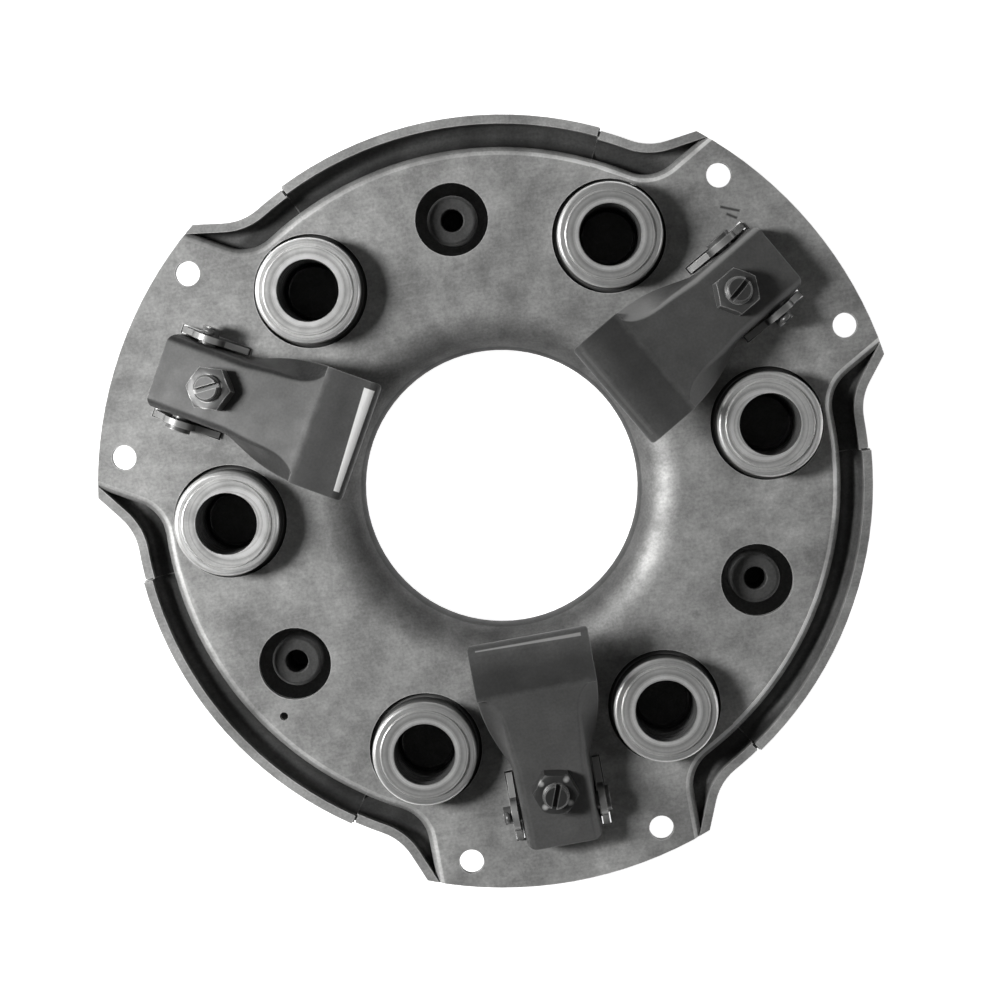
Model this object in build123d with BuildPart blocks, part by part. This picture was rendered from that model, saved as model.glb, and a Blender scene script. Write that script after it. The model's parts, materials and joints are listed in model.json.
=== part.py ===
from build123d import *
from math import cos, hypot, pi, radians, sin, tan
import os

# Clutch pressure plate with three release levers, in millimetres.
# +Z points to the release side. The lugs seat on the flywheel at z = 0.
# The lugs stand at 30, 150 and 270 degrees about Z.

os.makedirs("parts", exist_ok=True)

# Layout
lug_angles = [30, 150, 270]
lever_count = len(lug_angles)
bolt_inset = 9.1
bolt_angle = 14.9
bolt_hole = 4.4
cup_inset = 1.5
cup_angle = 26.5
access_inset = 7.6
access_angle = 60
access_hole = 13.0

# Cover sheet
sheet = 3.2
face_radius = 118.0
lug_reach = 11.7
lug_half_width = 45.0
lug_fillet = 18.0
bend_radius = 3.7
lug_bend = 3.5
groove_radius = 4.0
lip_height = 2.7
centre_hole = 49.5
roll_radius = 16.0
roll_lip = 1.5
balance_hole = 1.5
balance_inset = 4.5
balance_angle = 216

# Rim beside the lugs
notch_angle = 34.2
notch_gap = 0.9
notch_step = 1.0
wing_width = 7.1
wing_inset = 10.3
wing_splay = 22.2
wing_fillet = 20.0
wing_floor_fillet = 2.6
wing_edge_fillet = 5.0
wing_end = 12.0

# Spring cups
cup_radius = 18.7
cup_sheet = 1.6
cup_height = 15.2
cup_mouth = 11.0
cup_step_radius = 15.9
cup_step = 0.8
cup_flange = 24.0
cup_bend = 1.5
cup_clearance = 1.6

# Pressure springs
wire = 4.2
spring_turns = 5.4
spring_play = 0.3

# Pressure plate casting
plate_width = 44.5
plate_overhang = 1.5
plate_back = -19.0
plate_thickness = 14.0
pad_height = 2.0
pad_margin = 2.5
nub_height = 5.0
nub_play = 0.8
boss_radius = 9.0
boss_top = -4.2
tapped_hole = 4.0
tapped_depth = 20.0
ear_pad_margin = 1.5
pad_corner = 4.0
pad_taper = 5
plate_chamfer = 1.0
boss_chamfer = 1.0

# Lever brackets
ear_inner = 14.6
ear_sheet = 2.4
ear_lead = 14.4
ear_trail = 10.6
ear_shoulder = 4.6
ear_top_radius = 6.0
bracket_bend = 4.0
slot_play = 0.4
bolt_radius = 4.0
bolt_head_flats = 12.7
bolt_head_height = 5.0
bolt_depth = 10.0
bolt_pitch = 13.0

# Lever pins
pin_radius = 3.175
pin_inset = 13.1
pin_height = 9.5
pin_play = 0.08
pin_head_radius = 4.6
pin_head = 1.6
pin_tail = 3.0
cotter_station = 1.5
cotter_wire = 0.85
cotter_eye = 1.3
cotter_reach = 4.4
cotter_spread = 30
cotter_leg = 1.6
cotter_leg_wire = 0.65
cotter_hole_length = 12.0

# Release levers
lever_sheet = 3.2
lever_inset = 16.1
lever_end_height = 14.8
lever_slope = 11.5
flange_half_width = 14.0
web_half_width = 13.2
web_bend = 3.4
heel_clearance = 0.5
heel_length = 19.0
flare_gap = 1.4
flare_clearance = 2.8
flare_shares = [0, 0.35, 0.7, 0.88, 1]
top_flare_power = 9
edge_flare_power = 1.2
inner_bend_share = 0.8
tongue_half_width = 21.4
tongue_length = 18.8
tongue_gap = 1.7
tongue_slope = 4.0
tongue_crown = 4.0
tongue_corner = 1.5
tongue_draft = 0.8
lever_corner = 4.0
collar_radius = 7.4
collar_length = 3.5

# Adjusting screws and lock nuts
screw_radius = 4.76
screw_arm = 10.4
screw_tip_clearance = 0.3
screw_above_nut = 2.6
screw_slot_width = 1.7
screw_slot_depth = 2.0
screw_chamfer = 0.8
nut_flats = 14.3
nut_height = 6.2
nut_chamfer_angle = 30
slot_turns = [10, 35, -20]
nut_turns = [0, 12, 20]

# Worked out from the values above
outer_wall = face_radius + bend_radius
groove_outer = outer_wall + 2 * groove_radius
rim_radius = groove_outer + sheet
wing_radius = rim_radius - notch_step
lug_radius = rim_radius + lug_reach
bolt_circle = lug_radius - bolt_inset
wing_station = lug_radius - wing_inset
wing_half_width = lug_half_width + wing_width
cup_circle = face_radius - cup_radius - cup_inset
access_circle = face_radius - access_hole - access_inset
balance_circle = face_radius - balance_inset
groove_level = sheet - bend_radius
groove_floor = groove_level - groove_radius
rim_underside = groove_floor - sheet
cup_hole = cup_radius + cup_clearance
spring_top = cup_height - cup_sheet
spring_bottom = plate_back + pad_height
spring_outer = cup_step_radius - cup_step - spring_play
coil_radius = spring_outer - wire / 2
plate_face = plate_back - plate_thickness
plate_outer = face_radius + plate_overhang
plate_inner = plate_outer - plate_width
lever_end = lug_radius - lever_inset
pin_station = lever_end - pin_inset
screw_station = pin_station - screw_arm
ear_start = pin_station - ear_lead
ear_end = pin_station + ear_trail
tongue_tip = centre_hole + tongue_gap
tongue_start = tongue_tip + tongue_length
ear_outer = ear_inner + ear_sheet
ear_middle = (ear_start + ear_end) / 2
past_end = 10.0
overlap = 1.0
web_rise = tan(radians(lever_slope))
flare_start = ear_start - flare_gap
screw_dome = pin_height - sheet - screw_tip_clearance
tilt = radians(lever_slope)
screw_plane = Plane(
    (screw_station, 0, pin_height), x_dir=(cos(tilt), 0, -sin(tilt)), z_dir=(sin(tilt), 0, cos(tilt))
)
screw_seat = (lever_end - screw_station) * sin(tilt) + (lever_end_height - pin_height) * cos(tilt)


def polar(radius, angle):
    return (radius * cos(radians(angle)), radius * sin(radians(angle)))


def web_top(station):
    return lever_end_height + (lever_end - station) * web_rise


# Plan of the flat face, grown by a margin, with its lugs run past their ends
def face_plan(margin):
    with BuildSketch() as plan:
        Circle(face_radius + margin)
        for lug in lug_angles:
            with Locations(Rot(0, 0, lug)):
                length = lug_radius + past_end
                Rectangle(length, 2 * (lug_half_width + margin), align=(Align.MIN, Align.CENTER))
        corners = plan.vertices().filter_by(
            lambda v: abs(hypot(v.X, v.Y) - face_radius - margin) < 0.01 and abs(v.Y) > 0.01
        )
        fillet(corners, lug_fillet - margin)
    return plan.sketch


# Plan of the rim beside the lugs, shrunk by a margin
def wing_plan(margin):
    side = tan(radians(wing_splay))
    inset = margin / cos(radians(wing_splay))
    start = face_radius - past_end
    end = lug_radius + past_end
    with BuildSketch() as plan:
        Circle(wing_radius - margin)
        for lug in lug_angles:
            wide = wing_half_width + (wing_station - start) * side - inset
            narrow = wing_half_width + (wing_station - end) * side - inset
            with Locations(Rot(0, 0, lug)):
                Polygon(
                    (0, -wide), (start, -wide), (end, -narrow), (end, narrow), (start, wide), (0, wide),
                    align=None,
                )
        corners = plan.vertices().filter_by(
            lambda v: abs(hypot(v.X, v.Y) - wing_radius + margin) < 0.01 and abs(v.Y) > 0.01
        )
        fillet(corners, wing_fillet + margin)
    return plan.sketch


# Ring sectors about the lugs, where the rim follows the lug outline
def lug_sectors(inner, outer):
    with BuildSketch() as plan:
        for lug in lug_angles:
            with BuildLine():
                CenterArc((0, 0), outer, lug - notch_angle, 2 * notch_angle)
                CenterArc((0, 0), inner, lug - notch_angle, 2 * notch_angle)
                Line(polar(inner, lug - notch_angle), polar(outer, lug - notch_angle))
                Line(polar(inner, lug + notch_angle), polar(outer, lug + notch_angle))
            make_face()
    return plan.sketch


# Rim beside the lugs: bent edge, groove floor and upturned lip
with BuildPart() as bent_edge:
    with BuildSketch(Plane.XY.offset(rim_underside)):
        add(face_plan(bend_radius))
    extrude(amount=sheet - rim_underside)
    fillet(bent_edge.faces().sort_by(Axis.Z)[-1].edges(), lug_bend)
    with BuildSketch(Plane.XY.offset(rim_underside)):
        add(face_plan(bend_radius - sheet))
    extrude(amount=-rim_underside, mode=Mode.SUBTRACT)

with BuildPart() as groove_pocket:
    with BuildSketch(Plane.XY.offset(groove_floor)):
        add(wing_plan(sheet))
    extrude(amount=past_end)
    fillet(groove_pocket.faces().sort_by(Axis.Z)[0].edges(), wing_floor_fillet)

with BuildPart() as wing_rim:
    with BuildSketch(Plane.XY.offset(rim_underside)):
        add(wing_plan(0))
    extrude(amount=lip_height - rim_underside)
    fillet(wing_rim.faces().sort_by(Axis.Z)[0].edges(), wing_edge_fillet)
    add(groove_pocket.part, mode=Mode.SUBTRACT)
    with BuildSketch(Plane.XY.offset(rim_underside)):
        add(face_plan(bend_radius - sheet))
    extrude(amount=sheet - rim_underside, mode=Mode.SUBTRACT)
    add(bent_edge.part)
    with BuildSketch(Plane.XY.offset(rim_underside)):
        add(lug_sectors(face_radius - wing_end, lug_radius))
    extrude(amount=sheet - rim_underside, mode=Mode.INTERSECT)

# Section of the rim between the lugs
def rim_section(angle):
    with BuildSketch(Plane.XZ.rotated((0, 0, angle))) as section:
        with BuildLine():
            face = Polyline((face_radius - overlap, 0), (face_radius - overlap, sheet), (face_radius, sheet))
            RadiusArc(face @ 1, (outer_wall, groove_level), bend_radius)
            ThreePointArc(
                (outer_wall, groove_level),
                (outer_wall + groove_radius, groove_floor),
                (groove_outer, groove_level),
            )
            Polyline(
                (groove_outer, groove_level), (groove_outer, lip_height),
                (rim_radius, lip_height), (rim_radius, groove_level),
            )
            ThreePointArc(
                (rim_radius, groove_level),
                (outer_wall + groove_radius, rim_underside),
                (outer_wall - sheet, groove_level),
            )
            RadiusArc((outer_wall - sheet, groove_level), (face_radius, 0), sheet - bend_radius)
            Line((face_radius, 0), face @ 0)
        make_face()
    return section.sketch


# Cover pressing
with BuildPart() as cover:
    with BuildSketch():
        add(face_plan(0))
        Circle(lug_radius, mode=Mode.INTERSECT)
        Circle(centre_hole + roll_radius, mode=Mode.SUBTRACT)
    extrude(amount=sheet)
    for lug in lug_angles:
        add(rim_section(lug + notch_angle))
        revolve(axis=Axis.Z, revolution_arc=360 / lever_count - 2 * notch_angle)
    add(wing_rim.part)
    with BuildSketch(Plane.XZ):
        with BuildLine():
            roll = Polyline(
                (centre_hole + roll_radius + overlap, 0), (centre_hole + roll_radius + overlap, sheet),
                (centre_hole + roll_radius, sheet),
            )
            RadiusArc(roll @ 1, (centre_hole, sheet - roll_radius), -roll_radius)
            Polyline(
                (centre_hole, sheet - roll_radius), (centre_hole, sheet - roll_radius - roll_lip),
                (centre_hole + sheet, sheet - roll_radius - roll_lip),
                (centre_hole + sheet, sheet - roll_radius),
            )
            RadiusArc(
                (centre_hole + sheet, sheet - roll_radius), (centre_hole + roll_radius, 0),
                roll_radius - sheet,
            )
            Line((centre_hole + roll_radius, 0), roll @ 0)
        make_face()
    revolve(axis=Axis.Z)
    with BuildSketch():
        for lug in lug_angles:
            for side in (-1, 1):
                with Locations(polar(bolt_circle, lug + side * bolt_angle)):
                    Circle(bolt_hole)
                with Locations(polar(cup_circle, lug + side * cup_angle)):
                    Circle(cup_hole)
                with Locations(Rot(0, 0, lug) * Pos(ear_middle, side * (ear_inner + ear_outer) / 2)):
                    Rectangle(ear_end - ear_start + 2 * slot_play, ear_sheet + 2 * slot_play)
            with Locations(polar(access_circle, lug + access_angle)):
                Circle(access_hole)
        with Locations(polar(balance_circle, balance_angle)):
            Circle(balance_hole)
    extrude(amount=sheet, mode=Mode.SUBTRACT)
    with BuildSketch(Plane.XY.offset(groove_level)):
        for lug in lug_angles:
            for side in (-1, 1):
                with Locations(Rot(0, 0, lug + side * notch_angle) * Pos(rim_radius, 0)):
                    Rectangle(2 * sheet + notch_step, notch_gap)
    extrude(amount=sheet - groove_level, mode=Mode.SUBTRACT)
cover.part.label = "cover"
export_step(cover.part, "parts/cover.step")

# Spring cup, flanged under the cover
with BuildPart() as cup:
    with BuildSketch(Plane.XZ):
        with BuildLine():
            wall_top = cup_height - cup_step - cup_bend
            outside = Polyline(
                (cup_flange, -cup_sheet), (cup_flange, 0), (cup_radius + cup_bend, 0),
            )
            RadiusArc(outside @ 1, (cup_radius, cup_bend), -cup_bend)
            Line((cup_radius, cup_bend), (cup_radius, wall_top))
            RadiusArc((cup_radius, wall_top), (cup_radius - cup_bend, wall_top + cup_bend), -cup_bend)
            Polyline(
                (cup_radius - cup_bend, wall_top + cup_bend), (cup_step_radius, wall_top + cup_bend),
                (cup_step_radius - cup_step / 2, cup_height), (cup_mouth, cup_height),
                (cup_mouth, spring_top), (cup_step_radius - cup_step, spring_top),
                (cup_step_radius - cup_step / 2, spring_top - cup_step),
                (cup_radius - cup_sheet, spring_top - cup_step),
                (cup_radius - cup_sheet, -cup_sheet), outside @ 0,
            )
        make_face()
    revolve(axis=Axis.Z)

# Pressure spring, wound on the axis and ground flat at both ends
with BuildPart() as spring:
    coil_pitch = (spring_top - spring_bottom) / spring_turns
    with BuildLine() as coil:
        Helix(coil_pitch, spring_top - spring_bottom, coil_radius, center=(0, 0, spring_bottom))
    with BuildSketch(Plane(coil.line @ 0, z_dir=coil.line % 0)):
        Circle(wire / 2)
    sweep(path=coil.line, is_frenet=True)
    with BuildSketch(Plane.XY.offset(spring_bottom)):
        Circle(spring_outer + overlap)
    extrude(amount=spring_top - spring_bottom, mode=Mode.INTERSECT)

# The flanges of the cups are cut back where the rim bends down
with BuildPart() as cup_limit:
    with BuildSketch(Plane.XY.offset(-cup_sheet)):
        Circle(face_radius)
    extrude(amount=cup_sheet + cup_height)

for number, lug in enumerate(lug_angles):
    for half, side in enumerate((-1, 1)):
        x, y = polar(cup_circle, lug + side * cup_angle)
        seat = Rot(0, 0, lug + side * cup_angle)
        index = 2 * number + half + 1
        placed_cup = (Pos(x, y, 0) * seat * cup.part) & cup_limit.part
        placed_cup.label = f"spring_cup_{index}"
        export_step(placed_cup, f"parts/spring_cup_{index}.step")
        placed_spring = Pos(x, y, 0) * seat * spring.part
        placed_spring.label = f"pressure_spring_{index}"
        export_step(placed_spring, f"parts/pressure_spring_{index}.step")

# Pressure plate casting with spring seats, ear pads and hold-down bosses
with BuildPart() as pressure_plate:
    with BuildSketch(Plane.XY.offset(plate_face)) as plate_plan:
        Circle(plate_outer)
        for lug in lug_angles:
            with Locations(Rot(0, 0, lug)):
                Rectangle(
                    ear_end + ear_pad_margin, 2 * (ear_outer + ear_pad_margin),
                    align=(Align.MIN, Align.CENTER),
                )
        fillet(plate_plan.vertices().filter_by(lambda v: hypot(v.X, v.Y) > ear_end), pad_corner)
        Circle(plate_inner, mode=Mode.SUBTRACT)
    extrude(amount=plate_thickness)
    rims = pressure_plate.edges().filter_by(GeomType.CIRCLE).filter_by(
        lambda e: abs(e.center().Z - plate_face) < 0.01
    )
    chamfer(rims, plate_chamfer)
    with BuildSketch(Plane.XY.offset(plate_back)):
        for lug in lug_angles:
            for side in (-1, 1):
                with Locations(polar(cup_circle, lug + side * cup_angle)):
                    Circle(spring_outer + pad_margin)
    extrude(amount=pad_height)
    with BuildSketch(Plane.XY.offset(spring_bottom)):
        for lug in lug_angles:
            for side in (-1, 1):
                with Locations(polar(cup_circle, lug + side * cup_angle)):
                    Circle(coil_radius - wire / 2 - nub_play)
    extrude(amount=nub_height, taper=pad_taper)
    with BuildSketch(Plane.XY.offset(plate_back)):
        for lug in lug_angles:
            with Locations(polar(access_circle, lug + access_angle)):
                Circle(boss_radius)
    extrude(amount=boss_top - plate_back)
    chamfer(pressure_plate.faces().sort_by(Axis.Z)[-lever_count:].edges(), boss_chamfer)
    with BuildSketch(Plane.XY.offset(boss_top)):
        for lug in lug_angles:
            with Locations(polar(access_circle, lug + access_angle)):
                Circle(tapped_hole)
    extrude(amount=-tapped_depth, mode=Mode.SUBTRACT)
    with BuildSketch(Plane.XY.offset(plate_back)):
        for lug in lug_angles:
            for place in (-bolt_pitch / 2, bolt_pitch / 2):
                with Locations(Rot(0, 0, lug) * Pos(ear_middle + place, 0)):
                    Circle(bolt_radius)
    extrude(amount=-bolt_depth, mode=Mode.SUBTRACT)
pressure_plate.part.label = "pressure_plate"
export_step(pressure_plate.part, "parts/pressure_plate.step")

# Lever bracket, a U-shaped pressing whose ears carry the pivot pin
# Brackets, levers and their small parts are drawn along +X and turned to their lugs
with BuildPart() as bracket:
    with BuildSketch(Plane.XZ):
        with BuildLine():
            foot = Polyline(
                (ear_start, plate_back), (ear_start, ear_shoulder),
                (pin_station - ear_top_radius, pin_height),
            )
            ThreePointArc(
                (pin_station - ear_top_radius, pin_height), (pin_station, pin_height + ear_top_radius),
                (pin_station + ear_top_radius, pin_height),
            )
            Polyline(
                (pin_station + ear_top_radius, pin_height), (ear_end, ear_shoulder),
                (ear_end, plate_back), foot @ 0,
            )
        make_face()
    extrude(amount=ear_outer, both=True)
    base_edges = bracket.edges().filter_by(Axis.X).group_by(Axis.Z)[0]
    fillet(base_edges, bracket_bend)
    with Locations((0, 0, plate_back + ear_sheet)):
        Box(
            lug_radius, 2 * ear_inner, lug_radius,
            align=(Align.MIN, Align.CENTER, Align.MIN), mode=Mode.SUBTRACT,
        )
    with BuildSketch(Plane.XZ):
        with Locations((pin_station, pin_height)):
            Circle(pin_radius)
    extrude(amount=ear_outer, both=True, mode=Mode.SUBTRACT)
    with BuildSketch(Plane.XY.offset(plate_back)):
        for place in (-bolt_pitch / 2, bolt_pitch / 2):
            with Locations((ear_middle + place, 0)):
                Circle(bolt_radius)
    extrude(amount=ear_sheet, mode=Mode.SUBTRACT)

# Bracket bolts, two to a bracket
with BuildPart() as bracket_bolt:
    with BuildSketch(Plane.XY.offset(plate_back + ear_sheet)):
        RegularPolygon(bolt_head_flats / 2, 6, major_radius=False)
    extrude(amount=bolt_head_height)
    with BuildSketch(Plane.XY.offset(plate_back - bolt_depth)):
        Circle(bolt_radius)
    extrude(amount=bolt_depth + ear_sheet)


# Release lever, a channel that splays and flattens into a tongue
def channel_section(station, shrink):
    t = max(0, (flare_start - station) / (flare_start - tongue_start))
    half_top = web_half_width + (tongue_half_width - tongue_draft - web_half_width) * t ** top_flare_power
    half_bottom = flange_half_width + (tongue_half_width - flange_half_width) * sin(t * pi / 2)
    rise = max(0, (lever_end - heel_length - station) / (lever_end - heel_length - flare_start))
    bottom = sheet + heel_clearance + flare_clearance * min(1, rise)
    bottom += (web_top(tongue_start) - lever_sheet - bottom) * t ** edge_flare_power
    with BuildSketch(Plane.YZ.offset(station)) as section:
        Polygon(
            (shrink - half_top, web_top(station) - shrink), (half_top - shrink, web_top(station) - shrink),
            (half_bottom - shrink, bottom - shrink), (shrink - half_bottom, bottom - shrink),
            align=None,
        )
        bend = (web_bend - inner_bend_share * shrink) * (1 - t / 2)
        fillet(section.vertices().group_by(Axis.Y)[-1], bend)
    return section.sketch


def channel(stations, shrink, ruled):
    with BuildPart() as shape:
        for station in stations:
            add(channel_section(station, shrink))
        loft(ruled=ruled)
    return shape.part


# Stations along the flare, to one end of it
def flare_stations(end):
    return [flare_start + (end - flare_start) * share for share in flare_shares]


heel_stations = [lever_end, lever_end - heel_length, flare_start]
with BuildPart() as lever:
    add(channel(heel_stations, 0, True))
    add(channel(flare_stations(tongue_start), 0, False))
    add(channel(heel_stations, lever_sheet, True), mode=Mode.SUBTRACT)
    add(channel(flare_stations(tongue_start + lever_sheet), lever_sheet, False), mode=Mode.SUBTRACT)
    with BuildSketch(Plane.XZ):
        with BuildLine():
            crease = (tongue_start + overlap, web_top(tongue_start + overlap))
            shoulder = (tongue_start, web_top(tongue_start))
            fall = tan(radians(tongue_slope))
            crown = (
                tongue_tip + tongue_crown,
                web_top(tongue_start) + (tongue_start - tongue_tip - tongue_crown) * fall,
            )
            upper = Polyline(crease, shoulder, crown)
            RadiusArc(crown, (tongue_tip, crown[1] - tongue_crown), -tongue_crown)
            Polyline(
                (tongue_tip, crown[1] - tongue_crown),
                (tongue_tip + lever_sheet / 2, crown[1] - tongue_crown),
                (crown[0] + overlap, crown[1] - lever_sheet),
                (shoulder[0], shoulder[1] - lever_sheet), (crease[0], crease[1] - lever_sheet), crease,
            )
        make_face()
    extrude(amount=tongue_half_width, both=True)
    with BuildSketch(screw_plane):
        Circle(collar_radius)
    extrude(amount=screw_seat)
    with BuildSketch(screw_plane):
        Circle(collar_radius + lever_sheet)
    extrude(amount=screw_seat - lever_sheet - collar_length, mode=Mode.SUBTRACT)
    with BuildSketch(screw_plane):
        Circle(screw_radius)
    extrude(amount=screw_seat, mode=Mode.SUBTRACT)
    with BuildSketch(Plane.XZ):
        with Locations((pin_station, pin_height)):
            Circle(pin_radius + pin_play)
    extrude(amount=ear_outer, both=True, mode=Mode.SUBTRACT)
    with BuildSketch() as lever_plan:
        with Locations((lever_end, 0)):
            Rectangle(lever_end - flare_start, 2 * flange_half_width, align=(Align.MAX, Align.CENTER))
        fillet(lever_plan.vertices().group_by(Axis.X)[-1], lever_corner)
        with BuildSketch(mode=Mode.PRIVATE) as tongue_plan:
            with Locations((tongue_tip, 0)):
                Rectangle(flare_start - tongue_tip, 2 * tongue_half_width, align=(Align.MIN, Align.CENTER))
            fillet(tongue_plan.vertices().group_by(Axis.X)[0], tongue_corner)
        add(tongue_plan.sketch)
    extrude(amount=lug_radius, mode=Mode.INTERSECT)

# Adjusting screw with a domed foot and a slotted top
with BuildPart() as screw:
    top = screw_seat + nut_height + screw_above_nut
    waist = -((screw_dome ** 2 - screw_radius ** 2) ** 0.5)
    with BuildSketch(Plane.XZ):
        with BuildLine():
            Line((0, top), (0, -screw_dome))
            RadiusArc((0, -screw_dome), (screw_radius, waist), -screw_dome)
            Polyline(
                (screw_radius, waist), (screw_radius, top - screw_chamfer),
                (screw_radius - screw_chamfer, top), (0, top),
            )
        make_face()
    revolve(axis=Axis.Z)
    with Locations((0, 0, top)):
        Box(
            2 * nut_flats, screw_slot_width, screw_slot_depth,
            align=(Align.CENTER, Align.CENTER, Align.MAX), mode=Mode.SUBTRACT,
        )

# Lock nut, chamfered on both faces
with BuildPart() as nut:
    corner = nut_flats / 2 / cos(radians(30))
    drop = (corner - nut_flats / 2) * tan(radians(nut_chamfer_angle))
    with BuildSketch():
        RegularPolygon(nut_flats / 2, 6, major_radius=False)
        Circle(screw_radius, mode=Mode.SUBTRACT)
    extrude(amount=nut_height)
    with BuildSketch(Plane.XZ):
        Polygon(
            (0, 0), (nut_flats / 2, 0), (corner, drop), (corner, nut_height - drop),
            (nut_flats / 2, nut_height), (0, nut_height), align=None,
        )
    revolve(axis=Axis.Z, mode=Mode.INTERSECT)

# Pivot pin with a flat head and a hole for the cotter pin
with BuildPart() as pin:
    with BuildSketch(Plane.XZ.offset(-ear_outer)):
        with Locations((pin_station, pin_height)):
            Circle(pin_radius)
    extrude(amount=2 * ear_outer + pin_tail)
    with BuildSketch(Plane.XZ.offset(-ear_outer)):
        with Locations((pin_station, pin_height)):
            Circle(pin_head_radius)
    extrude(amount=-pin_head)
    with Locations((pin_station, -ear_outer - cotter_station, pin_height)):
        Cylinder(cotter_wire, cotter_hole_length, mode=Mode.SUBTRACT)

# Cotter pin, an eye above the pivot pin and two spread legs below
with BuildPart() as cotter:
    with Locations((pin_station, -ear_outer - cotter_station, pin_height)):
        Cylinder(cotter_wire, cotter_reach + pin_radius)
        with Locations((0, 0, (cotter_reach + pin_radius) / 2 + cotter_eye)):
            Torus(cotter_eye, cotter_wire, rotation=(90, 0, 90))
        for side in (-1, 1):
            with Locations(Pos(0, 0, -(cotter_reach + pin_radius) / 2) * Rot(0, side * cotter_spread, 0)):
                Cylinder(
                    cotter_leg_wire, cotter_leg,
                    align=(Align.CENTER, Align.CENTER, Align.MAX),
                )

bolts = []
cotters = []
for index, lug in enumerate(lug_angles, 1):
    turn = Rot(0, 0, lug)
    screw_place = turn * screw_plane.location
    nut_place = screw_place * Pos(0, 0, screw_seat)
    pieces = {
        f"lever_bracket_{index}": turn * bracket.part,
        f"release_lever_{index}": turn * lever.part,
        f"lever_pin_{index}": turn * pin.part,
        f"adjusting_screw_{index}": screw_place * Rot(0, 0, slot_turns[index - 1]) * screw.part,
        f"lock_nut_{index}": nut_place * Rot(0, 0, nut_turns[index - 1]) * nut.part,
    }
    for node, piece in pieces.items():
        piece.label = node
        export_step(piece, f"parts/{node}.step")
    cotters.append(turn * cotter.part)
    for place in (-bolt_pitch / 2, bolt_pitch / 2):
        bolts.append(turn * Pos(ear_middle + place, 0, 0) * bracket_bolt.part)
bracket_bolts = Compound(label="bracket_bolts", children=bolts)
export_step(bracket_bolts, "parts/bracket_bolts.step")
cotter_pins = Compound(label="cotter_pins", children=cotters)
export_step(cotter_pins, "parts/cotter_pins.step")
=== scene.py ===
import json
import bpy
import bmesh
from math import cos, pi, radians, sin
from mathutils import Matrix, Quaternion, Vector


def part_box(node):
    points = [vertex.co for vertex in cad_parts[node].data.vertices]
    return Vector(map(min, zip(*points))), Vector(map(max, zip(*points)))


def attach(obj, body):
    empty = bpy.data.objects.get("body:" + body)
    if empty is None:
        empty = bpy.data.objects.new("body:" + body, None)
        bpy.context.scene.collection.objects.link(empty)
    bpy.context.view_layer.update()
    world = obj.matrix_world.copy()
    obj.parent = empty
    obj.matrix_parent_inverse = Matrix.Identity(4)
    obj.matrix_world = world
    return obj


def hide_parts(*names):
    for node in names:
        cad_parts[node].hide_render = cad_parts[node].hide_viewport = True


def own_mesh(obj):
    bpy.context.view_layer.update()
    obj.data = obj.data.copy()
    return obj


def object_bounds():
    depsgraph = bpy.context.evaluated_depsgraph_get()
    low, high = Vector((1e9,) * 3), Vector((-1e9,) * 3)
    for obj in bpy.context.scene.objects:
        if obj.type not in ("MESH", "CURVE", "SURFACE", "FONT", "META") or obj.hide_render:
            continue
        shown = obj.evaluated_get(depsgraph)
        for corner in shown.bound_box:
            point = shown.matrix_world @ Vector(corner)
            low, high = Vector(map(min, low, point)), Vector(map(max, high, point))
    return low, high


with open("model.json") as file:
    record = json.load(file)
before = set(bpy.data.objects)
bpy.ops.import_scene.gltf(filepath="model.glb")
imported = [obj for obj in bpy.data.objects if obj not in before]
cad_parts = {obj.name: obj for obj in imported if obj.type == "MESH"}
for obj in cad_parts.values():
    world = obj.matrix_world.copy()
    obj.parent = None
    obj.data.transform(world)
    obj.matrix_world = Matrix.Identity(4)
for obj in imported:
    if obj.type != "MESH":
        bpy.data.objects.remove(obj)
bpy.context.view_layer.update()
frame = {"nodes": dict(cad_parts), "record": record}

# Object: its lugs' directions, and the body that each node rides on
lug_angles = (30, 150, 270)
bodies_of = {
    node: body for body, members in frame["record"]["behaviour"]["bodies"].items() for node in members
}


def corners(node):
    return (Vector(corner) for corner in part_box(node))


def plan_direction(angle):
    return Vector((cos(radians(angle)), sin(radians(angle)), 0))


# Shader steps
def shader(name):
    material = bpy.data.materials.new(name)
    material.use_nodes = True
    tree = material.node_tree
    place = tree.nodes.new("ShaderNodeTexCoord").outputs["Object"]
    return material, tree, tree.nodes["Principled BSDF"], place


# A node's first inputs, each linked to a socket or set to a fixed value
def feed(tree, node, *values):
    for socket, value in zip(node.inputs, values):
        if isinstance(value, bpy.types.NodeSocket):
            tree.links.new(value, socket)
        else:
            socket.default_value = value


def noise(tree, place, scale, detail=4, rough=0.55):
    texture = tree.nodes.new("ShaderNodeTexNoise")
    texture.inputs["Scale"].default_value = scale
    texture.inputs["Detail"].default_value = detail
    texture.inputs["Roughness"].default_value = rough
    tree.links.new(place, texture.inputs["Vector"])
    return texture.outputs["Fac"]


# One range stretched over another, and held at both ends
def spread(tree, value, low, high, out_low, out_high):
    remap = tree.nodes.new("ShaderNodeMapRange")
    feed(tree, remap, value, low, high, out_low, out_high)
    return remap.outputs["Result"]


# Zero before a start, rising to one at an end
def fade(tree, value, start, end):
    return spread(tree, value, start, end, 0, 1)


# The part of a noise's range that it mostly fills, and a narrower part for more contrast
noise_range = (0.3, 0.7)
noise_core = (0.35, 0.65)


# A noise spread evenly about a middle
def about(tree, value, middle, amount, span=noise_range):
    return spread(tree, value, *span, middle - amount, middle + amount)


def calculate(tree, operation, result, *values):
    for value in values:
        node = tree.nodes.new("ShaderNodeMath")
        node.operation = operation
        feed(tree, node, result, value)
        result = node.outputs["Value"]
    return result


def product(tree, *values):
    return calculate(tree, "MULTIPLY", *values)


def total(tree, *values):
    return calculate(tree, "ADD", *values)


def size_of(tree, value):
    return calculate(tree, "ABSOLUTE", value, 0)


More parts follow.
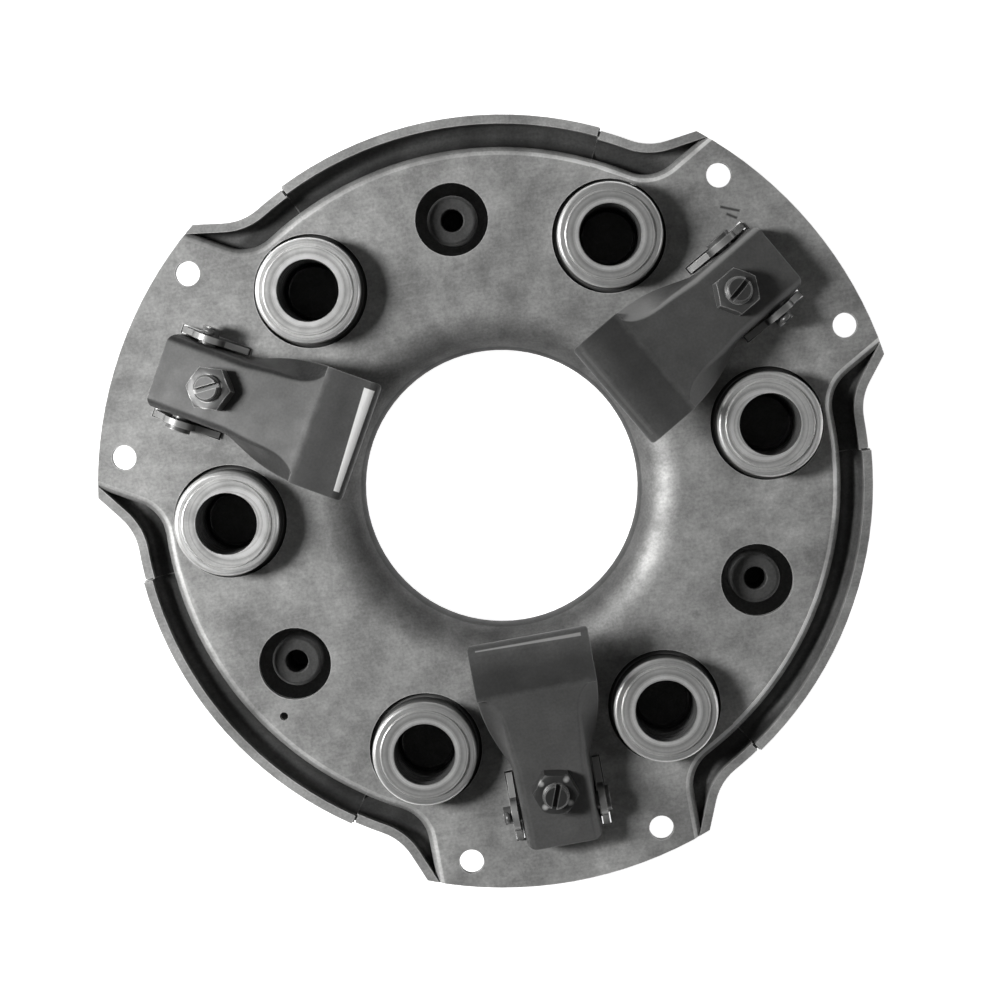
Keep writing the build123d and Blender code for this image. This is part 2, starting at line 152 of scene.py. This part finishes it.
def off_middle(tree, value, middle):
    return size_of(tree, calculate(tree, "SUBTRACT", value, middle))


# A vector calculation, whose result is a number unless it is a difference
def vector_step(tree, operation, *values):
    node = tree.nodes.new("ShaderNodeVectorMath")
    node.operation = operation
    feed(tree, node, *values)
    return node.outputs["Vector"] if operation == "SUBTRACT" else node.outputs["Value"]


def surface_normal(tree):
    return tree.nodes.new("ShaderNodeNewGeometry").outputs["Normal"]


# How far the surface faces one direction
def facing(tree, direction):
    return vector_step(tree, "DOT_PRODUCT", surface_normal(tree), direction)


# Distance from the axis along one direction in plan
def plan_distance(tree, place, angle):
    return vector_step(tree, "DOT_PRODUCT", place, plan_direction(angle))


def height_and_radius(tree, place):
    split = tree.nodes.new("ShaderNodeSeparateXYZ")
    feed(tree, split, place)
    flat = tree.nodes.new("ShaderNodeCombineXYZ")
    feed(tree, flat, split.outputs["X"], split.outputs["Y"])
    return split.outputs["Z"], vector_step(tree, "LENGTH", flat.outputs["Vector"])


# Marks that several metals share: sizes in metres, and noise scales to a metre
warmth = 0.985
# Brighter edges, partly wear and partly a painted highlight
edge_bevel_samples = 6
edge_turn_cosines = (0.995, 0.9)
worn_edge_width = 0.0006
blotch_scale = 28
blotch_range = (0.32, 0.68)
patch_scale = 120
patch_share = 0.6
grain_scale = 1100
gloss_scale = 160
gloss_change = 0.06
skin_scale = 1300
skin_height = 0.00002


def grey(tree, surface, shade):
    colour = tree.nodes.new("ShaderNodeCombineColor")
    feed(tree, colour, shade, shade, product(tree, shade, warmth))
    tree.links.new(colour.outputs["Color"], surface.inputs["Base Color"])


def bump(tree, surface, height, distance):
    bumps = tree.nodes.new("ShaderNodeBump")
    bumps.inputs["Distance"].default_value = distance
    tree.links.new(height, bumps.inputs["Height"])
    tree.links.new(bumps.outputs["Normal"], surface.inputs["Normal"])


# Worn edges, partly a painted highlight: the strength where the surface turns within the width, zero on the
# flat
def worn_and_lit_edges(tree, width, strength):
    rounded = tree.nodes.new("ShaderNodeBevel")
    rounded.samples = edge_bevel_samples
    rounded.inputs["Radius"].default_value = width
    turned = vector_step(tree, "DOT_PRODUCT", rounded.outputs["Normal"], surface_normal(tree))
    return spread(tree, turned, *edge_turn_cosines, 0, strength)


# Blotches and fine grain about one, from three sizes of noise
def mottle(tree, place, blotch, grain):
    broad = about(tree, noise(tree, place, blotch_scale, detail=5), 1, blotch, blotch_range)
    patch = about(tree, noise(tree, place, patch_scale), 1, blotch * patch_share)
    fine = about(tree, noise(tree, place, grain_scale, detail=3), 1, grain)
    return product(tree, broad, patch, fine)


# Fine rings round an axis, left by turning
def turned_rings(tree, radius, scale, detail=3):
    rings = tree.nodes.new("ShaderNodeTexNoise")
    rings.noise_dimensions = "1D"
    rings.inputs["Scale"].default_value = scale
    rings.inputs["Detail"].default_value = detail
    tree.links.new(radius, rings.inputs["W"])
    return rings.outputs["Fac"]


# One at a radius, fading to zero at its width to either side
def ring_line(tree, radius, middle, width):
    return fade(tree, off_middle(tree, radius, middle), width, 0)


# Tone, gloss, bump and edges of one metal, brighter at the edges partly from wear and partly as a painted
# highlight
def finish(tree, surface, place, tone, rough, metal, edge_tone=0.22):
    grey(tree, surface, total(tree, tone, worn_and_lit_edges(tree, worn_edge_width, edge_tone)))
    surface.inputs["Metallic"].default_value = metal
    patches = about(tree, noise(tree, place, gloss_scale), 0, gloss_change)
    tree.links.new(total(tree, patches, rough), surface.inputs["Roughness"])
    bump(tree, surface, noise(tree, place, skin_scale, detail=5), skin_height)


def steel(name, tone, rough, metal=0.6, edge_tone=0.22):
    material, tree, surface, place = shader(name)
    shade = product(tree, mottle(tree, place, blotch=0.1, grain=0.08), tone)
    finish(tree, surface, place, shade, rough, metal, edge_tone)
    return material


# Cover marks: heights and radii, each from where the mark starts to where it is full
cover_tone = 0.37
groove_heights = (0.0006, -0.0016)
groove_radii = (0.110, 0.114)
lip_radii = (0.1270, 0.1310)
lip_dark_share = 0.7
# Painted shade at the centre hole's edge and over the roll round it
hole_edge_radii = (0.0520, 0.0506)
darkening_depth = 0.82
roll_shade_radii = (0.0640, 0.0505)
roll_shade_depth = 0.66
scuff_angle = 35
scuff_stretch = 0.12
scuff_scale = 900
stain_scale = 60
stain_peaks = (0.6, 0.74)
nicks = (((0.0978, 0.0832), -22, 0.0062), ((0.0980, 0.0806), -33, 0.0032))
nick_width = 0.0007
nick_core = 0.3
nick_tone = 0.25
# Painted highlight along the bend at the sheet's edge, stronger towards one side
bend_start_cosines = (0.992, 0.98)
bend_end_cosines = (0.8, 0.86)
bend_heights = (0.0018, 0.0022)
bend_radii = (0.085, 0.09)
bend_patch_scale = 30
bend_highlight_tones = (0.15, 0.65)
bend_lit_angle = -10
bend_lit_span = (-0.03, 0.09)
bend_lit_gain = (0.35, 1.4)


# Scuffs: noise drawn out along one direction in plan
def scuffs(tree, place, angle, depth):
    stretched = tree.nodes.new("ShaderNodeMapping")
    stretched.inputs["Rotation"].default_value = (0, 0, radians(angle))
    stretched.inputs["Scale"].default_value = (scuff_stretch, 1, 1)
    tree.links.new(place, stretched.inputs["Vector"])
    drawn_out = noise(tree, stretched.outputs["Vector"], scuff_scale, detail=3)
    return about(tree, drawn_out, 1, depth, noise_core)


# A few darker stains where the noise peaks
def stains(tree, place, depth):
    return spread(tree, noise(tree, place, stain_scale, detail=3, rough=0.7), *stain_peaks, 1, 1 - depth)


# A nick in the sheet: one inside a short stroke in plan, zero past its width
def nick(tree, place, middle, angle, length):
    middle_along, middle_across = Matrix.Rotation(-radians(angle), 2) @ Vector(middle)
    along = off_middle(tree, plan_distance(tree, place, angle), middle_along)
    across = off_middle(tree, plan_distance(tree, place, angle + 90), middle_across)
    past_end = calculate(tree, "SUBTRACT", along, length / 2)
    return fade(tree, calculate(tree, "MAXIMUM", past_end, across), nick_width, nick_width * nick_core)


# Painted highlight where the flat sheet starts to bend down, patchy, and stronger towards one side
def bend_highlight(tree, place, height, radius):
    upward = facing(tree, (0, 0, 1))
    leaning = fade(tree, upward, *bend_start_cosines)
    not_steep = fade(tree, upward, *bend_end_cosines)
    high = fade(tree, height, *bend_heights)
    outside = fade(tree, radius, *bend_radii)
    patchy = spread(tree, noise(tree, place, bend_patch_scale), *noise_core, *bend_highlight_tones)
    one_side = spread(tree, plan_distance(tree, place, bend_lit_angle), *bend_lit_span, *bend_lit_gain)
    return product(tree, leaning, not_steep, high, outside, patchy, one_side)


# Cover sheet, darker in the groove under the lip, with painted shade at the centre hole's edge and over the
# roll round it, and a painted highlight along the outer bend
def cover_finish():
    material, tree, surface, place = shader("cover_steel")
    height, radius = height_and_radius(tree, place)
    # Darker in the groove under the lip, less so out at the lip
    in_groove = product(tree, fade(tree, height, *groove_heights), fade(tree, radius, *groove_radii))
    groove_dark = product(tree, in_groove, spread(tree, radius, *lip_radii, 1, lip_dark_share))
    # Painted shade at the centre hole's edge and over the roll round it
    in_hole = fade(tree, radius, *hole_edge_radii)
    roll_shade = spread(tree, radius, *roll_shade_radii, 0, roll_shade_depth)
    groove_and_hole_dark = product(tree, calculate(tree, "MAXIMUM", groove_dark, in_hole), darkening_depth)
    undarkened = calculate(tree, "SUBTRACT", 1, calculate(tree, "MAXIMUM", groove_and_hole_dark, roll_shade))
    shade = product(
        tree, mottle(tree, place, blotch=0.32, grain=0.16), cover_tone,
        scuffs(tree, place, scuff_angle, depth=0.05), stains(tree, place, depth=0.4), undarkened,
    )
    for middle, angle, length in nicks:
        mark = nick(tree, place, middle, angle, length)
        shade = product(tree, shade, spread(tree, mark, 0, 1, 1, nick_tone))
    # Painted highlight along the outer bend
    shade = total(tree, shade, bend_highlight(tree, place, height, radius))
    finish(tree, surface, place, shade, rough=0.52, metal=0.45)
    surface.inputs["Specular Tint"].default_value = (0.4, 0.4, 0.4, 1)
    return material


# Cup marks, measured from the middle of the cup's top
# Each cup's own tone, set per cup as painted light and shade
cup_lit_tones = (0.64, 0.46, 0.72, 0.68, 0.46, 0.5)
# Painted shade down the cup's side and inside
cup_shaded_tone = 0.15
cup_top_heights = (-0.0026, -0.0012)
cup_fine_scale = 1500
cup_fine_depth = 0.18
cup_broad_scale = 420
cup_broad_shares = (0.72, 1.2)
# A painted highlight ring near the mouth
cup_rim_radius = 0.0120
cup_rim_width = 0.0011
cup_rim_highlight = 0.4
cup_score_radius = 0.0163
cup_score_width = 0.0004
cup_score_tone = -0.2


# Drawn cup: turned rings on top, painted shade down its side and inside, a painted highlight ring near the
# mouth, and a tone per cup that is painted light and shade
def cup_finish(index, cup_lit_tone):
    material, tree, surface, place = shader(f"cup_steel_{index}")
    low, high = corners(f"spring_cup_{index}")
    top_middle = ((low.x + high.x) / 2, (low.y + high.y) / 2, high.z)
    height, radius = height_and_radius(tree, vector_step(tree, "SUBTRACT", place, top_middle))
    top = fade(tree, height, *cup_top_heights)
    fine = about(tree, turned_rings(tree, radius, cup_fine_scale), 1, cup_fine_depth)
    broad_tones = [cup_lit_tone * share for share in cup_broad_shares]
    broad = spread(tree, turned_rings(tree, radius, cup_broad_scale, detail=2), *noise_core, *broad_tones)
    rim = product(tree, ring_line(tree, radius, cup_rim_radius, cup_rim_width), cup_rim_highlight)
    score = product(tree, ring_line(tree, radius, cup_score_radius, cup_score_width), cup_score_tone)
    shade = total(tree, product(tree, fine, broad), rim, score)
    # Painted shade: below the top the tone fades to the shaded tone
    shade = product(tree, shade, top, mottle(tree, place, blotch=0.08, grain=0.07))
    shade = total(tree, shade, cup_shaded_tone)
    finish(tree, surface, place, shade, rough=0.36, metal=0.7, edge_tone=0.1)
    return material


# Plate marks: from where the cast skin ends to the turned face
face_heights = (-0.0322, -0.0326)
face_scale = 2600
face_tones = (0.38, 0.5)
face_cut = 0.15
face_rough = 0.34
cast_tone = 0.085
cast_rough = 0.62
cast_scale = 700
cast_bump = 0.00016
cast_edge_width = 0.0008
cast_edge_tone = 0.06


# Cast iron, dark as cast above and turned bright in fine rings on the friction face
def plate_finish():
    material, tree, surface, place = shader("plate_iron")
    height, radius = height_and_radius(tree, place)
    turned = fade(tree, height, *face_heights)
    rings = turned_rings(tree, radius, face_scale)
    cast = product(tree, mottle(tree, place, blotch=0.2, grain=0.16), cast_tone)
    bright = spread(tree, rings, *noise_range, *face_tones)
    shade = tree.nodes.new("ShaderNodeMix")
    tree.links.new(turned, shade.inputs["Factor"])
    tree.links.new(cast, shade.inputs[2])
    tree.links.new(bright, shade.inputs[3])
    grey(tree, surface, total(tree, shade.outputs[0], worn_and_lit_edges(tree, cast_edge_width, cast_edge_tone)))
    surface.inputs["Metallic"].default_value = 0.6
    tree.links.new(spread(tree, turned, 0, 1, cast_rough, face_rough), surface.inputs["Roughness"])
    sandy = product(tree, noise(tree, place, cast_scale, detail=6, rough=0.65), fade(tree, turned, 1, 0))
    cuts = product(tree, turned, face_cut, rings)
    bump(tree, surface, total(tree, sandy, cuts), cast_bump)
    return material


# Bracket sheet, with a painted highlight where it faces up, as on its ears' top edges
bracket_tone = 0.12
upward_lit_cosines = (0.4, 0.8)
upward_highlight_tone = 0.25


def bracket_finish():
    material, tree, surface, place = shader("bracket_steel")
    lit_upward = spread(tree, facing(tree, (0, 0, 1)), *upward_lit_cosines, 0, upward_highlight_tone)
    tone = product(tree, mottle(tree, place, blotch=0.1, grain=0.08), bracket_tone)
    finish(tree, surface, place, total(tree, tone, lit_upward), rough=0.4, metal=0.5, edge_tone=0.2)
    return material


# Lock nut, where wanted with four painted glints on its top
glint_corners = (45, 135, 225, 315)
glint_radius = 0.0063
glint_depth = 0.0014
glint_reach = (0.0016, 0.0009)
glint_tone = 0.55


def nut_finish(index, tone, edge_tone, glinting):
    material, tree, surface, place = shader(f"nut_steel_{index}")
    shade = product(tree, mottle(tree, place, blotch=0.1, grain=0.08), tone)
    low, high = corners(f"lock_nut_{index}")
    middle = Vector(((low.x + high.x) / 2, (low.y + high.y) / 2, high.z - glint_depth))
    # Four painted glints: spots brighter round points on the top
    for corner in glint_corners if glinting else ():
        point = middle + glint_radius * plan_direction(lug_angles[index - 1] + corner)
        off = vector_step(tree, "DISTANCE", place, point)
        shade = total(tree, shade, spread(tree, off, *glint_reach, 0, glint_tone))
    finish(tree, surface, place, shade, rough=0.42, metal=0.3, edge_tone=edge_tone)
    return material


# Lever marks: distances from the axis along the lever, and across it
lever_tone = 0.1
hardened_tone = 0.055
hardened_ends = (0.0710, 0.0690)
hardened_wander = 0.0005
wander_scale = 260
tip_span = (0.0560, 0.0620)
tip_hardened = 0.35
ground_start = 0.0528
ground_half_length = 0.0188
ground_edge = 0.0002
side_start_cosines = (0.2, 0.45)
side_end_cosines = (0.9, 0.7)


# Lever steel, blue-black where the tongue is hardened, ground in a strip by its tip whose brightness per
# lever is partly a painted highlight, and with painted highlights and painted shade on its side bends
def lever_finish(index, ground_and_glint_tone, ground_width, ground_taper, side_light_tones):
    material, tree, surface, place = shader(f"lever_steel_{index}")
    lug = lug_angles[index - 1]
    along = plan_distance(tree, place, lug)
    across = plan_distance(tree, place, lug + 90)
    wander = about(tree, noise(tree, place, wander_scale), 0, hardened_wander)
    ragged = total(tree, along, wander)
    hardened = fade(tree, ragged, *hardened_ends)
    hardened = product(tree, hardened, spread(tree, ragged, *tip_span, tip_hardened, 1))
    tone = spread(tree, hardened, 0, 1, lever_tone, hardened_tone)
    tone = product(tree, tone, mottle(tree, place, blotch=0.16, grain=0.1))
    # Ground strip by the tip, its brightness partly a painted highlight
    width = total(tree, product(tree, across, ground_taper), ground_width)
    past_start = calculate(tree, "SUBTRACT", along, ground_start)
    before_end = calculate(tree, "SUBTRACT", width, past_start)
    before_side = calculate(tree, "SUBTRACT", ground_half_length, size_of(tree, across))
    inside = calculate(tree, "MINIMUM", past_start, before_end, before_side)
    tone = total(tree, tone, spread(tree, inside, 0, ground_edge, 0, ground_and_glint_tone))
    # Painted light on each side bend: a highlight where its tone is above zero, a shade where below
    for side, side_light_tone in zip((90, -90), side_light_tones):
        outward = facing(tree, plan_direction(lug + side))
        bend = spread(tree, outward, *side_start_cosines, 0, side_light_tone)
        tone = total(tree, tone, product(tree, bend, fade(tree, outward, *side_end_cosines)))
    finish(tree, surface, place, tone, rough=0.5, metal=0.15, edge_tone=0.1)
    surface.inputs["Specular IOR Level"].default_value = 0.35
    return material


cover_steel = cover_finish()
spring_steel = steel("spring_steel", tone=0.12, rough=0.45, edge_tone=0)
plate_iron = plate_finish()
bracket_steel = bracket_finish()
bolt_steel = steel("bolt_steel", tone=0.1, rough=0.45)
pin_steel = steel("pin_steel", tone=0.14, rough=0.4, metal=0.4)
cotter_steel = steel("cotter_steel", tone=0.15, rough=0.38, metal=0.4, edge_tone=0)
# Per lever: the ground strip's brightness and the side bends' painted highlights and shades
lever_steels = [
    lever_finish(1, ground_and_glint_tone=0.02, ground_width=0.0012, ground_taper=0, side_light_tones=(0.15, 0.07)),
    lever_finish(2, ground_and_glint_tone=0.8, ground_width=0.0031, ground_taper=-0.048, side_light_tones=(-0.05, -0.06)),
    lever_finish(3, ground_and_glint_tone=0.22, ground_width=0.001, ground_taper=0.02, side_light_tones=(0.07, -0.03)),
]
# Each screw's tone, set per screw as painted light and shade
screw_lit_tones = (0.07, 0.09, 0.04)
screw_steels = [
    steel(f"screw_steel_{index}", tone, rough=0.45, metal=0.3) for index, tone in enumerate(screw_lit_tones, 1)
]
# Each nut's tone and edge brightness, set per nut as painted light and shade
nut_steels = [
    nut_finish(1, tone=0.09, edge_tone=0.4, glinting=False),
    nut_finish(2, tone=0.11, edge_tone=0.5, glinting=False),
    nut_finish(3, tone=0.05, edge_tone=0.03, glinting=True),
]


# Pieces
def as_mesh(name, shape):
    mesh = bpy.data.meshes.new(name)
    shape.to_mesh(mesh)
    shape.free()
    return mesh


def placed(name, mesh):
    piece = bpy.data.objects.new(name, mesh)
    bpy.context.collection.objects.link(piece)
    return piece


# A piece takes the place of a CAD node, and rides on its body
def stand_for(piece, node):
    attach(piece, bodies_of[node])
    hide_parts(node)


# A CAD node's own shape with its edges broken
weld_distance = 2e-6
flat_angle = radians(0.6)
sharp_angle = radians(32)
edge_segments = 2


def broken_edges(node, name, material, width):
    mesh = frame["nodes"][node].data.copy()
    shape = bmesh.new()
    shape.from_mesh(mesh)
    bmesh.ops.remove_doubles(shape, verts=shape.verts, dist=weld_distance)
    bmesh.ops.dissolve_limit(shape, angle_limit=flat_angle, verts=shape.verts, edges=shape.edges)
    for face in shape.faces:
        face.smooth = True
    for edge in shape.edges:
        edge.smooth = edge.calc_face_angle(0) < sharp_angle
    shape.to_mesh(mesh)
    shape.free()
    mesh.materials.clear()
    mesh.materials.append(material)
    piece = placed(name, mesh)
    edges = piece.modifiers.new("edges", "BEVEL")
    edges.width = width
    edges.segments = edge_segments
    edges.limit_method = "ANGLE"
    edges.angle_limit = sharp_angle
    edges.use_clamp_overlap = True
    edges.harden_normals = True
    stand_for(piece, node)


# A piece made in a bmesh
def made_piece(name, shape, node, material):
    bmesh.ops.recalc_face_normals(shape, faces=shape.faces)
    mesh = as_mesh(name, shape)
    mesh.materials.append(material)
    piece = placed(name, mesh)
    stand_for(piece, node)
    return piece


def edges_among(parts):
    return [part for part in parts if isinstance(part, bmesh.types.BMEdge)]


# Cuts a shape off level at both ends and closes it there
def level_ends(shape, lowest, highest, snap):
    for height, up in ((lowest, -1), (highest, 1)):
        cut = bmesh.ops.bisect_plane(
            shape, geom=shape.verts[:] + shape.edges[:] + shape.faces[:], dist=snap,
            plane_co=(0, 0, height), plane_no=(0, 0, up), clear_outer=True,
        )["geom_cut"]
        bmesh.ops.holes_fill(shape, edges=edges_among(cut), sides=0)


# Pressure spring: closed end turns, open middle turns, both ends ground flat
spring_wire = 0.0042
wire_sides = 14
end_turns = 1.0
open_turns = 3.6
steps_per_turn = 32
end_rise = 0.85 * spring_wire
ground_centre = 0.15 * spring_wire
spring_snap = 1e-6


def pressure_spring(index):
    node = f"pressure_spring_{index}"
    low, high = corners(node)
    middle = (low + high) / 2
    coil_radius = (high.x - low.x) / 2 - spring_wire / 2
    open_rise = (high.z - low.z - 2 * end_rise - 2 * ground_centre) / open_turns
    shape = bmesh.new()
    place = Matrix.Translation((middle.x + coil_radius, middle.y, low.z + ground_centre))
    bmesh.ops.create_circle(
        shape, radius=spring_wire / 2, segments=wire_sides, cap_ends=False,
        matrix=place @ Matrix.Rotation(pi / 2, 4, "X"),
    )
    last = shape.verts[:] + shape.edges[:]
    open_edges = shape.edges[:]
    for turns, rise in ((end_turns, end_rise), (open_turns, open_rise), (end_turns, end_rise)):
        steps = round(turns * steps_per_turn)
        last = bmesh.ops.spin(
            shape, geom=last, cent=(middle.x, middle.y, 0), axis=(0, 0, 1), angle=turns * 2 * pi,
            dvec=(0, 0, rise * turns / steps), steps=steps, use_merge=False, use_duplicate=False,
        )["geom_last"]
    open_edges += edges_among(last)
    bmesh.ops.holes_fill(shape, edges=open_edges, sides=wire_sides)
    level_ends(shape, low.z, high.z, spring_snap)
    for face in shape.faces:
        face.smooth = len(face.verts) == 4
    piece = made_piece(f"spring_{index}", shape, node, spring_steel)
    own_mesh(piece)


# Adjusting screw, threaded over its whole length, with a domed foot and a slotted end
pivot_height = 0.0095
screw_station = 0.105
lever_slope = radians(11.5)
screw_radius = 0.00476
screw_top = 0.01868
screw_dome = 0.006
dome_kept = 0.995
screw_chamfer = 0.0008
slot_width = 0.0017
slot_depth = 0.002
slot_turns = (10, 35, -20)
thread_pitch = 0.00106
thread_depth = 0.00055
crest_width = 0.2 * thread_pitch
root_start = 0.5 * thread_pitch
root_end = 0.7 * thread_pitch
thread_steps = 40
lead_turns = 1.5
spare_turns = 4
thread_weld = 1e-6
thread_snap = 1e-7


# One turn of thread as radius and height, from crest to root
def thread_turn(start):
    root = screw_radius - thread_depth
    return [
        (screw_radius, start), (screw_radius, start + crest_width),
        (root, start + root_start), (root, start + root_end),
    ]


def threaded_rod():
    rod = bmesh.new()
    turns = int((screw_top + screw_dome) / thread_pitch) + spare_turns
    first = -screw_dome - lead_turns * thread_pitch
    points = [point for turn in range(turns) for point in thread_turn(first + turn * thread_pitch)]
    line = [rod.verts.new((radius, 0, height)) for radius, height in points]
    edges = [rod.edges.new(pair) for pair in zip(line, line[1:])]
    bmesh.ops.spin(
        rod, geom=line + edges, cent=(0, 0, 0), axis=(0, 0, 1), angle=2 * pi,
        dvec=(0, 0, thread_pitch / thread_steps), steps=thread_steps, use_merge=False, use_duplicate=False,
    )
    bmesh.ops.remove_doubles(rod, verts=rod.verts, dist=thread_weld)
    level_ends(rod, -screw_dome * dome_kept, screw_top, thread_snap)
    for vert in rod.verts:
        radius = vert.co.xy.length
        dome = max(screw_dome ** 2 - vert.co.z ** 2, 0) ** 0.5 if vert.co.z < 0 else screw_radius
        allowed = min(dome, screw_radius - screw_chamfer + screw_top - vert.co.z)
        if radius > allowed:
            vert.co.xy *= allowed / radius
    bmesh.ops.recalc_face_normals(rod, faces=rod.faces)
    return rod


# The rod with its slot cut, once for all three screws
def slotted_rod():
    blank = placed("rod_blank", as_mesh("rod", threaded_rod()))
    slot = bmesh.new()
    size = Matrix.Diagonal((4 * screw_radius, slot_width, 2 * slot_depth, 1))
    bmesh.ops.create_cube(slot, size=1, matrix=Matrix.Translation((0, 0, screw_top)) @ size)
    cutter = placed("slot_cutter", as_mesh("slot_cutter", slot))
    cut = blank.modifiers.new("slot", "BOOLEAN")
    cut.operation = "DIFFERENCE"
    cut.solver = "EXACT"
    cut.object = cutter
    made = bpy.data.meshes.new_from_object(blank.evaluated_get(bpy.context.evaluated_depsgraph_get()))
    for piece in (blank, cutter):
        bpy.data.objects.remove(piece)
    return made


def adjusting_screw(index, rod, material):
    lug = lug_angles[index - 1]
    station = screw_station * plan_direction(lug) + Vector((0, 0, pivot_height))
    leaned = Matrix.Rotation(radians(lug), 4, "Z") @ Matrix.Rotation(lever_slope, 4, "Y")
    turned = Matrix.Rotation(radians(slot_turns[index - 1]), 4, "Z")
    shape = bmesh.new()
    shape.from_mesh(rod)
    bmesh.ops.transform(shape, matrix=Matrix.Translation(station) @ leaned @ turned, verts=shape.verts)
    made_piece(f"screw_{index}", shape, f"adjusting_screw_{index}", material)


rod = slotted_rod()
broken_edges("cover", "cover_pressing", cover_steel, width=0.00035)
broken_edges("pressure_plate", "plate_casting", plate_iron, width=0.0005)
broken_edges("bracket_bolts", "bracket_bolt_set", bolt_steel, width=0.0003)
for index, cup_lit_tone in enumerate(cup_lit_tones, 1):
    cup_steel = cup_finish(index, cup_lit_tone)
    broken_edges(f"spring_cup_{index}", f"cup_{index}", cup_steel, width=0.00025)
    pressure_spring(index)
for index, (lever_steel, screw_steel, nut_steel) in enumerate(zip(lever_steels, screw_steels, nut_steels), 1):
    lever = f"lever_{index}_pressing"
    broken_edges(f"release_lever_{index}", lever, lever_steel, width=0.0005)
    bracket = f"bracket_{index}"
    broken_edges(f"lever_bracket_{index}", bracket, bracket_steel, width=0.0004)
    broken_edges(f"lever_pin_{index}", f"pivot_pin_{index}", pin_steel, width=0.0003)
    broken_edges(f"lock_nut_{index}", f"nut_{index}", nut_steel, width=0.0002)
    adjusting_screw(index, rod, screw_steel)
cotters = frame["nodes"]["cotter_pins"]
cotters.data.materials.clear()
cotters.data.materials.append(cotter_steel)

# Floor just below the object, and a wall round it
floor_gap = 0.0002
floor_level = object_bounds()[0][2] - floor_gap
floor_reach = 8
floor_sides = 64
studio_glow = 0.95
sky_glow = 0.06


def glowing_white():
    material, _, surface, _ = shader("studio_white")
    surface.inputs["Base Color"].default_value = (0.9, 0.9, 0.9, 1)
    surface.inputs["Roughness"].default_value = 0.9
    surface.inputs["Emission Color"].default_value = (1, 1, 1, 1)
    surface.inputs["Emission Strength"].default_value = studio_glow
    return material


def studio(name, shape, lights):
    piece = placed(name, as_mesh(name, shape))
    piece.data.materials.append(studio_white)
    piece.visible_diffuse = lights
    piece.visible_glossy = lights
    piece.visible_shadow = lights


studio_white = glowing_white()
floor = bmesh.new()
bmesh.ops.create_circle(
    floor, cap_ends=True, radius=floor_reach, segments=floor_sides,
    matrix=Matrix.Translation((0, 0, floor_level)),
)
studio("floor", floor, lights=True)
wall = bmesh.new()
bmesh.ops.create_cone(
    wall, cap_ends=False, radius1=floor_reach, radius2=floor_reach, depth=floor_reach, segments=floor_sides,
    matrix=Matrix.Translation((0, 0, floor_level + floor_reach / 2)),
)
# The wall is seen but throws no light
studio("wall", wall, lights=False)

world = bpy.data.worlds.new("studio")
world.use_nodes = True
world.node_tree.nodes["Background"].inputs["Color"].default_value = (1, 1, 1, 1)
world.node_tree.nodes["Background"].inputs["Strength"].default_value = sky_glow
bpy.context.scene.world = world
bpy.context.scene.view_settings.view_transform = "Standard"

# Photo pose: the object turned about Z, then leaned towards the foot of the picture
photo_turn = radians(10.4)
photo_lean = Vector((-0.0125, -0.0661, 1))
photo_shift = Vector((0.00042, 0.00422, 0))
pose = Vector((0, 0, 1)).rotation_difference(photo_lean) @ Quaternion((0, 0, 1), photo_turn)
view = pose.inverted()

# Lights, placed as seen from the camera: X to the right, Y up, Z towards it
key_place = (-0.95, 0.06, 0.8)
key_size = (0.26, 0.42)
key_power = 17.5
edge_place = (1.1, -0.1, 0.5)
edge_size = (0.2, 1.0)
edge_power = 1.5


def softbox(name, place, size, power):
    data = bpy.data.lights.new(name, "AREA")
    data.shape = "RECTANGLE"
    data.size, data.size_y = size
    data.energy = power
    lamp = placed(name, data)
    lamp.location = view @ Vector(place)
    lamp.rotation_euler = (-lamp.location).to_track_quat("-Z", "Y").to_euler()


softbox("key", key_place, key_size, key_power)
softbox("edge", edge_place, edge_size, edge_power)

# Camera
camera_distance = 0.851
lens = 85.33
sensor_width = 36
camera_data = bpy.data.cameras.new("camera")
camera_data.lens = lens
camera_data.sensor_width = sensor_width
camera = placed("camera", camera_data)
camera_place = view @ (Vector((0, 0, camera_distance)) - photo_shift)
camera.matrix_world = Matrix.Translation(camera_place) @ view.to_matrix().to_4x4()
bpy.context.scene.camera = camera
